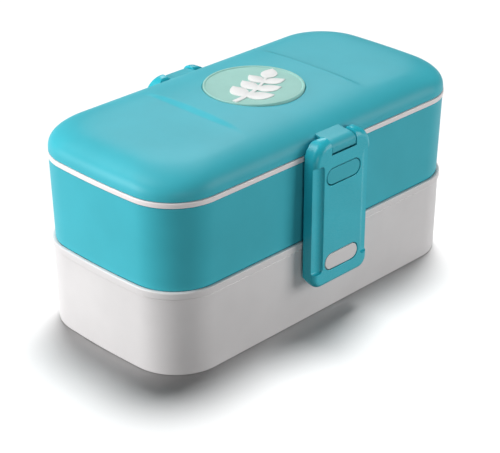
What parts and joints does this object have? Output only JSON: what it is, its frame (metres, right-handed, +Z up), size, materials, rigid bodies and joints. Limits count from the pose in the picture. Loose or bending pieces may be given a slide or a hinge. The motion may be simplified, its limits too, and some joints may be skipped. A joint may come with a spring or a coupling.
{
  "type": "bento lunch box",
  "caption": "Two-tier bento lunch box with a domed cover over a cutlery tray, sealing lids between the tiers, and a swinging latch on each long side.",
  "frame": {"origin": "middle of the base, on the surface that the box stands on", "axes": "+X along the box's length, -Y towards the front latch, +Z up"},
  "size_m": [0.1862, 0.1074, 0.0955],
  "materials": {
    "white_plastic": "satin white plastic",
    "teal_plastic": "soft-touch teal plastic",
    "teal_latch": "satin teal plastic",
    "mint_plastic": "satin mint plastic",
    "emblem_white": "satin white plastic relief",
    "cutlery_mint": "smooth mint plastic",
    "silicone": "translucent white silicone",
    "pin_steel": "plain steel pin"
  },
  "bodies": {
    "lower_tier": {"lower_tier": "white_plastic"},
    "lower_divider": {"lower_divider": "mint_plastic"},
    "middle_lid": {"middle_lid": "white_plastic", "middle_lid_seal": "silicone"},
    "upper_tier": {"upper_tier": "teal_plastic"},
    "upper_divider": {"upper_divider": "white_plastic"},
    "inner_lid": {"inner_lid": "white_plastic", "inner_lid_seal": "silicone"},
    "vent_plug": {"vent_plug": "silicone"},
    "fork": {"fork": "cutlery_mint"},
    "knife": {"knife": "cutlery_mint"},
    "spoon": {"spoon": "cutlery_mint"},
    "cover": {"lid_cover": "teal_plastic", "lid_badge": "mint_plastic", "badge_emblem": "emblem_white", "front_latch_pin": "pin_steel", "rear_latch_pin": "pin_steel"},
    "front_latch": {"front_latch": "teal_latch"},
    "rear_latch": {"rear_latch": "teal_latch"}
  },
  "joints": [
    {"name": "lower_divider_slide", "type": "slide", "parent": "lower_tier", "child": "lower_divider", "axis": [1, 0, 0], "range_m": [-0.04, 0.03]},
    {"name": "middle_lid_lift", "type": "slide", "parent": "lower_tier", "child": "middle_lid", "axis": [0, 0, 1], "range_m": [0, 0.024]},
    {"name": "upper_tier_lift", "type": "slide", "parent": "middle_lid", "child": "upper_tier", "axis": [0, 0, 1], "range_m": [0, 0.03]},
    {"name": "upper_divider_slide", "type": "slide", "parent": "upper_tier", "child": "upper_divider", "axis": [1, 0, 0], "range_m": [-0.03, 0.04]},
    {"name": "inner_lid_lift", "type": "slide", "parent": "upper_tier", "child": "inner_lid", "axis": [0, 0, 1], "range_m": [0, 0.018]},
    {"name": "vent_plug_lift", "type": "slide", "parent": "inner_lid", "child": "vent_plug", "axis": [0, 0, 1], "range_m": [0, 0.003]},
    {"name": "fork_lift", "type": "slide", "parent": "inner_lid", "child": "fork", "axis": [0, 0, 1], "range_m": [0, 0.012]},
    {"name": "knife_lift", "type": "slide", "parent": "inner_lid", "child": "knife", "axis": [0, 0, 1], "range_m": [0, 0.012]},
    {"name": "spoon_lift", "type": "slide", "parent": "inner_lid", "child": "spoon", "axis": [0, 0, 1], "range_m": [0, 0.012]},
    {"name": "lid_lift", "type": "slide", "parent": "inner_lid", "child": "cover", "axis": [0, 0, 1], "range_m": [0, 0.03]},
    {"name": "front_latch_swing", "type": "hinge", "parent": "cover", "child": "front_latch", "pos_m": [0, -0.0496, 0.0839], "axis": [-1, 0, 0], "range_deg": [0, 165]},
    {"name": "rear_latch_swing", "type": "hinge", "parent": "cover", "child": "rear_latch", "pos_m": [0, 0.0496, 0.0839], "axis": [1, 0, 0], "range_deg": [0, 165]}
  ],
  "couplings": [
    {"joint": "middle_lid_lift", "follows": "lid_lift", "ratio": 0.8},
    {"joint": "upper_tier_lift", "follows": "lid_lift", "ratio": 1},
    {"joint": "inner_lid_lift", "follows": "lid_lift", "ratio": 0.6},
    {"joint": "fork_lift", "follows": "lid_lift", "ratio": 0.4},
    {"joint": "knife_lift", "follows": "lid_lift", "ratio": 0.4},
    {"joint": "spoon_lift", "follows": "lid_lift", "ratio": 0.4},
    {"joint": "front_latch_swing", "follows": "lid_lift", "rad_per_m": 95.9},
    {"joint": "rear_latch_swing", "follows": "lid_lift", "rad_per_m": 95.9}
  ]
}
